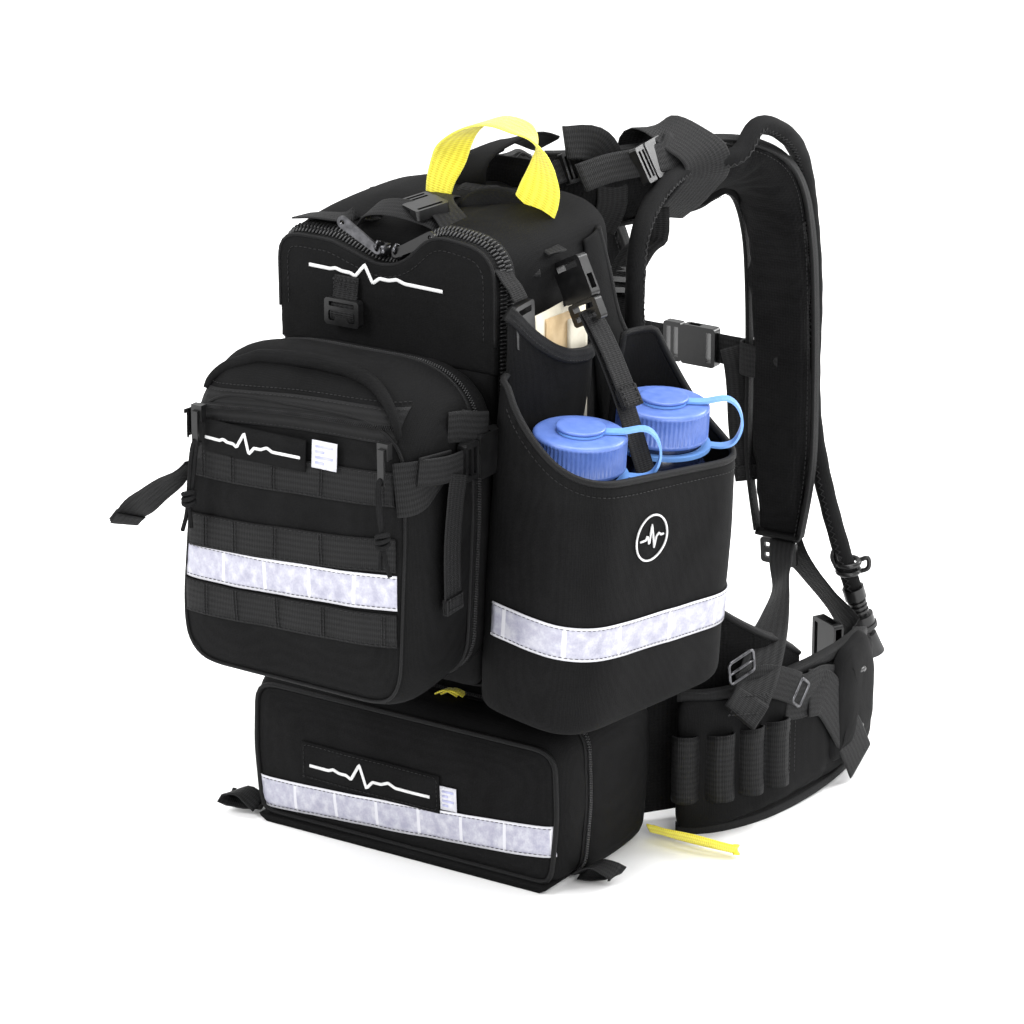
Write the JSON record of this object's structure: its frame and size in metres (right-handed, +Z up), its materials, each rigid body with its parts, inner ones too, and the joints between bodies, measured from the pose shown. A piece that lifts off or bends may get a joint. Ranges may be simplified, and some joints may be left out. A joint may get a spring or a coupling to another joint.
{
  "type": "trauma backpack",
  "caption": "Black trauma backpack with a clamshell front pouch, lumbar pack, side bottle holster with bottles, padded harness with drinking hose, and a hip belt.",
  "frame": {"origin": "centre of the flat face that the lumbar pack stands on", "axes": "+Z up, -Y towards the front pouch, +Y towards the wearer, +X towards the bottle holster"},
  "size_m": [0.4226, 0.6192, 0.5569],
  "materials": {
    "nylon_cloth": "coarse woven nylon pack cloth, matt",
    "mesh_pad": "brushed knit over foam",
    "webbing": "ribbed nylon webbing",
    "buckle_plastic": "moulded, semi-gloss",
    "zip_teeth": "coil zip",
    "pull_metal": "dark nickel",
    "frame_plastic": "textured sheet",
    "stay_metal": "plain flat bar",
    "reservoir_film": "soft film full of water",
    "hose_sleeve": "neoprene sleeve with zigzag seam",
    "valve_rubber": "satin",
    "reflective_tape": "prismatic reflective tape with cloth edges",
    "pull_cord": "braided cord",
    "yellow_webbing": "flat woven webbing",
    "paper_sheets": "paper, slightly yellowed",
    "bottle_body": "translucent polyester, dark",
    "bottle_cap": "satin moulded",
    "cap_tether": "satin moulded"
  },
  "bodies": {
    "root": {"main_shell": "nylon_cloth", "frame_sheet": "frame_plastic", "frame_stays": "stay_metal", "back_pad": "mesh_pad", "reservoir": "reservoir_film", "side_pocket": "nylon_cloth", "left_pocket": "nylon_cloth", "bottle_holster": "nylon_cloth", "holster_tape": "reflective_tape", "lumbar_shell": "nylon_cloth", "belt_center": "mesh_pad", "yoke_pad": "mesh_pad", "shoulder_pad_right": "mesh_pad", "shoulder_pad_left": "mesh_pad", "harness_webbing": "webbing", "pack_webbing": "webbing", "side_wing": "nylon_cloth", "strap_adjusters": "buckle_plastic", "hydration_hose": "hose_sleeve", "valve_body": "buckle_plastic", "buckle_sockets": "buckle_plastic", "main_zip": "zip_teeth", "pouch_back": "nylon_cloth", "sternum_webbing": "webbing", "sternum_socket": "buckle_plastic"},
    "main_flap": {"main_flap": "nylon_cloth", "flap_tab": "webbing", "flap_buckle": "buckle_plastic"},
    "main_pull_left": {"main_pull_left": "pull_metal"},
    "main_pull_right": {"main_pull_right": "buckle_plastic"},
    "pouch_front": {"pouch_front": "nylon_cloth", "pouch_webbing": "webbing", "pouch_tape": "reflective_tape", "compression_straps": "webbing", "compression_plugs": "buckle_plastic"},
    "pouch_slider_left": {"pouch_slider_left": "pull_metal", "pull_cord_left": "pull_cord"},
    "pouch_slider_right": {"pouch_slider_right": "pull_metal", "pull_cord_right": "pull_cord"},
    "lumbar_front": {"lumbar_front": "nylon_cloth", "lumbar_tape": "reflective_tape"},
    "grab_handle": {"grab_handle": "yellow_webbing"},
    "release_loop": {"release_loop": "yellow_webbing"},
    "notebook": {"notebook": "paper_sheets"},
    "bottle_front": {"bottle_front": "bottle_body", "tether_front": "cap_tether"},
    "cap_front": {"cap_front": "bottle_cap"},
    "bottle_rear": {"bottle_rear": "bottle_body", "tether_rear": "cap_tether"},
    "cap_rear": {"cap_rear": "bottle_cap"},
    "retention_plug": {"retention_plug": "buckle_plastic"},
    "sternum_plug": {"sternum_plug": "buckle_plastic"},
    "belt_wing_right": {"belt_wing_right": "mesh_pad", "belt_webbing_right": "webbing", "belt_socket": "buckle_plastic"},
    "belt_wing_left": {"belt_wing_left": "mesh_pad", "belt_plug": "buckle_plastic"},
    "valve_lever": {"valve_lever": "buckle_plastic"},
    "dust_cap": {"dust_cap": "valve_rubber"},
    "hanging_buckle": {"hanging_buckle": "buckle_plastic"}
  },
  "joints": [
    {"name": "flap_hinge", "type": "hinge", "parent": "root", "child": "main_flap", "pos_m": [0, -0.091, 0.40825], "axis": [1, 0, 0], "range_deg": [0, 55]},
    {"name": "main_pull_left_swing", "type": "hinge", "parent": "root", "child": "main_pull_left", "pos_m": [-0.008, -0.088, 0.474], "axis": [0, 1, 0], "range_deg": [0, 50]},
    {"name": "main_pull_right_swing", "type": "hinge", "parent": "root", "child": "main_pull_right", "pos_m": [0.008, -0.088, 0.474], "axis": [0, -1, 0], "range_deg": [0, 50]},
    {"name": "pouch_hinge", "type": "hinge", "parent": "root", "child": "pouch_front", "pos_m": [0, -0.118, 0.179], "axis": [1, 0, 0], "range_deg": [0, 80]},
    {"name": "pouch_zip_left", "type": "slide", "parent": "pouch_front", "child": "pouch_slider_left", "axis": [1, 0, 0], "range_m": [0, 0.072]},
    {"name": "pouch_zip_right", "type": "slide", "parent": "pouch_front", "child": "pouch_slider_right", "axis": [-1, 0, 0], "range_m": [0, 0.072]},
    {"name": "lumbar_hinge", "type": "hinge", "parent": "root", "child": "lumbar_front", "pos_m": [0, -0.078, 0.0056], "axis": [1, 0, 0], "range_deg": [0, 82]},
    {"name": "handle_fold", "type": "hinge", "parent": "root", "child": "grab_handle", "pos_m": [0.03, 0, 0.487], "axis": [1, 0, 0], "range_deg": [-30, 50]},
    {"name": "release_loop_swing", "type": "hinge", "parent": "root", "child": "release_loop", "pos_m": [0.139, 0.0545, 0.008], "axis": [0, 0, -1], "range_deg": [0, 25]},
    {"name": "notebook_lift", "type": "slide", "parent": "root", "child": "notebook", "axis": [0, 0, 1], "range_m": [0, 0.11]},
    {"name": "bottle_front_lift", "type": "slide", "parent": "root", "child": "bottle_front", "axis": [0.0777, -0.0109, 0.9969], "range_m": [0, 0.22]},
    {"name": "cap_front_spin", "type": "hinge", "parent": "bottle_front", "child": "cap_front", "pos_m": [0.1514, -0.07097, 0.33557], "axis": [0.0777, -0.0109, 0.9969], "continuous": true},
    {"name": "bottle_rear_lift", "type": "slide", "parent": "root", "child": "bottle_rear", "axis": [0.0777, -0.0109, 0.9969], "range_m": [0, 0.22]},
    {"name": "cap_rear_spin", "type": "hinge", "parent": "bottle_rear", "child": "cap_rear", "pos_m": [0.16437, 0.02132, 0.33557], "axis": [0.0777, -0.0109, 0.9969], "continuous": true},
    {"name": "retention_release", "type": "slide", "parent": "root", "child": "retention_plug", "axis": [0.4573, -0.0643, -0.887], "range_m": [0, 0.02]},
    {"name": "sternum_release", "type": "slide", "parent": "root", "child": "sternum_plug", "axis": [-1, 0, 0], "range_m": [0, 0.02]},
    {"name": "belt_wing_right_flex", "type": "hinge", "parent": "root", "child": "belt_wing_right", "pos_m": [0.142, 0.068, 0.056], "axis": [0, 0, 1], "range_deg": [-8, 12], "stiffness_Nm_per_rad": 3},
    {"name": "belt_wing_left_flex", "type": "hinge", "parent": "root", "child": "belt_wing_left", "pos_m": [-0.142, 0.068, 0.056], "axis": [0, 0, -1], "range_deg": [-8, 12], "stiffness_Nm_per_rad": 3},
    {"name": "valve_twist", "type": "hinge", "parent": "root", "child": "valve_lever", "pos_m": [0.136, 0.373, 0.104], "axis": [0.1842, 0.2456, -0.9517], "range_deg": [0, 90]},
    {"name": "dust_cap_pull", "type": "slide", "parent": "root", "child": "dust_cap", "axis": [0.1842, 0.2456, -0.9517], "range_m": [0, 0.03]},
    {"name": "hanging_buckle_swing", "type": "hinge", "parent": "root", "child": "hanging_buckle", "pos_m": [0.1095, -0.08, 0.455], "axis": [1, 0, 0], "range_deg": [-20, 20]}
  ]
}
